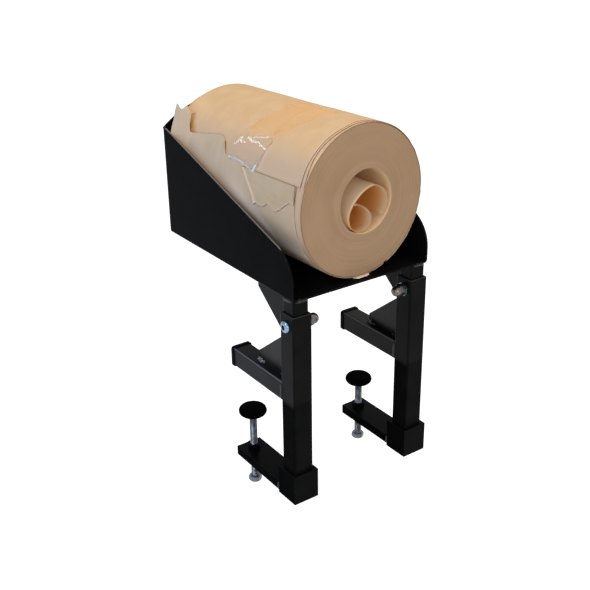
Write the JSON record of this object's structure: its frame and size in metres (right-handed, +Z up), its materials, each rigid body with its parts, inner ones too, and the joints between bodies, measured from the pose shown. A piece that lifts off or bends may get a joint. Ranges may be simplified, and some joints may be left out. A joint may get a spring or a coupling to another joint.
{
  "type": "table-clamp wrapping paper roll holder",
  "caption": "Black steel tray on height-adjustable legs that clamp to a table's edge, holding a centre-pull roll of kraft wrapping paper.",
  "frame": {"origin": "on the table's front upper edge, midway between the legs: the height of the upper arms' undersides and the plane of the legs' back faces", "axes": "+X to the right, +Y away from the person at the table and over it, +Z up"},
  "size_m": [0.301, 0.4095, 0.699],
  "materials": {
    "black_powder_coat": "semi-gloss black powder coat on steel",
    "black_plastic": "moulded black polyethylene",
    "pad_rubber": "moulded black rubber",
    "zinc_plated_steel": "bright zinc plate",
    "kraft_paper": "natural brown kraft",
    "parcel_tape": "tan polypropylene film"
  },
  "bodies": {
    "left_clamp": {"outer_tube_left": "black_powder_coat", "upper_arm_left": "black_powder_coat", "arm_end_cap_left": "black_plastic", "lower_gusset_left": "black_powder_coat", "jaw_socket_left": "black_powder_coat", "lower_arm_left": "black_powder_coat", "clamp_nut_left": "black_powder_coat", "leg_bolt_left": "zinc_plated_steel", "leg_washer_left": "zinc_plated_steel", "leg_nut_left": "zinc_plated_steel"},
    "tray": {"tray_pan": "black_powder_coat", "tray_back_plate": "black_powder_coat", "inner_tube_left": "black_powder_coat", "inner_tube_right": "black_powder_coat", "upper_gusset_left": "black_powder_coat", "upper_gusset_right": "black_powder_coat"},
    "right_clamp": {"outer_tube_right": "black_powder_coat", "upper_arm_right": "black_powder_coat", "arm_end_cap_right": "black_plastic", "lower_gusset_right": "black_powder_coat", "jaw_socket_right": "black_powder_coat", "lower_arm_right": "black_powder_coat", "clamp_nut_right": "black_powder_coat", "leg_bolt_right": "zinc_plated_steel", "leg_washer_right": "zinc_plated_steel", "leg_nut_right": "zinc_plated_steel"},
    "roll": {"paper_roll": "kraft_paper", "centre_curl": "kraft_paper", "outer_sheet": "kraft_paper", "parcel_tape": "parcel_tape"},
    "left_pad": {"clamp_pad_left": "pad_rubber"},
    "left_screw": {"clamp_screw_left": "zinc_plated_steel"},
    "right_pad": {"clamp_pad_right": "pad_rubber"},
    "right_screw": {"clamp_screw_right": "zinc_plated_steel"}
  },
  "joints": [
    {"name": "tray_height", "type": "slide", "parent": "left_clamp", "child": "tray", "axis": [0, 0, 1], "range_m": [0, 0.075]},
    {"name": "right_leg_drop", "type": "slide", "parent": "tray", "child": "right_clamp", "axis": [0, 0, -1], "range_m": [0, 0.075]},
    {"name": "roll_lift", "type": "slide", "parent": "tray", "child": "roll", "axis": [0, 0, 1], "range_m": [0, 0.28]},
    {"name": "left_pad_lift", "type": "slide", "parent": "left_clamp", "child": "left_pad", "axis": [0, 0, 1], "range_m": [-0.06, 0.044]},
    {"name": "left_screw_turn", "type": "hinge", "parent": "left_pad", "child": "left_screw", "pos_m": [-0.1245, 0.124, -0.2], "axis": [0, 0, 1], "range_deg": [-10836, 7956]},
    {"name": "right_pad_lift", "type": "slide", "parent": "right_clamp", "child": "right_pad", "axis": [0, 0, 1], "range_m": [-0.044, 0.044]},
    {"name": "right_screw_turn", "type": "hinge", "parent": "right_pad", "child": "right_screw", "pos_m": [0.1245, 0.124, -0.2], "axis": [0, 0, 1], "range_deg": [-7956, 7956]}
  ],
  "couplings": [
    {"joint": "right_leg_drop", "follows": "tray_height", "ratio": 1},
    {"joint": "left_screw_turn", "follows": "left_pad_lift", "rad_per_m": 3141.6},
    {"joint": "right_screw_turn", "follows": "right_pad_lift", "rad_per_m": 3141.6}
  ]
}
